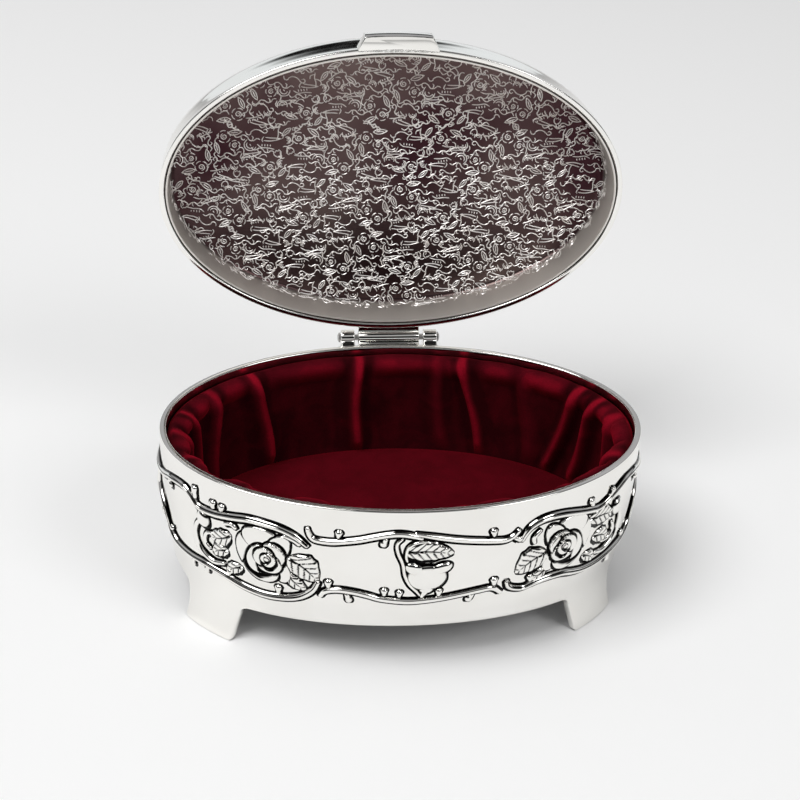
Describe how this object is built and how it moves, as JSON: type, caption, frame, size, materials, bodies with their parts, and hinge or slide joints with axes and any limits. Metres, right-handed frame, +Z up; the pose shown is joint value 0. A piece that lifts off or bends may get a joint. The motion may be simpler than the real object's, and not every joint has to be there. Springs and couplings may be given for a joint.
{
  "type": "hinged oval trinket box",
  "caption": "Oval footed keepsake box in polished plated metal with rose relief, velvet lining, an embossed lid liner and a back-hinged lid standing open.",
  "frame": {"origin": "on the table, under the middle of the whole outline with the lid open; the oval body's own middle is 11.5 mm in front of it", "axes": "+X along the long axis of the oval, to the right seen from the front; +Y to the back, where the hinge is; +Z up"},
  "size_m": [0.121, 0.1024, 0.1308],
  "materials": {
    "silver_plate": "bright polished silver plate on a zinc alloy casting",
    "embossed_sheet": "bright plated thin sheet, embossed all over with small scrolls and roses",
    "pin_steel": "drawn steel wire with riveted ends",
    "burgundy_velvet": "short-pile burgundy velvet, gathered on the wall and flat on the floor",
    "grey_card": "plain grey lining card",
    "white_wadding": "thin white wadding",
    "base_felt_black": "black felt sheet"
  },
  "bodies": {
    "box": {"body_casting": "silver_plate", "hinge_pin": "pin_steel", "lining_wall": "burgundy_velvet", "wall_card": "grey_card", "wall_wadding": "white_wadding", "floor_cover": "burgundy_velvet", "floor_card": "grey_card", "floor_wadding": "white_wadding", "base_felt": "base_felt_black"},
    "lid": {"lid_casting": "silver_plate", "lid_liner_plate": "embossed_sheet"}
  },
  "joints": [
    {"name": "lid_hinge", "type": "hinge", "parent": "box", "child": "lid", "pos_m": [0, 0.02966, 0.0481], "axis": [1, 0, 0], "range_deg": [0, 93]}
  ]
}
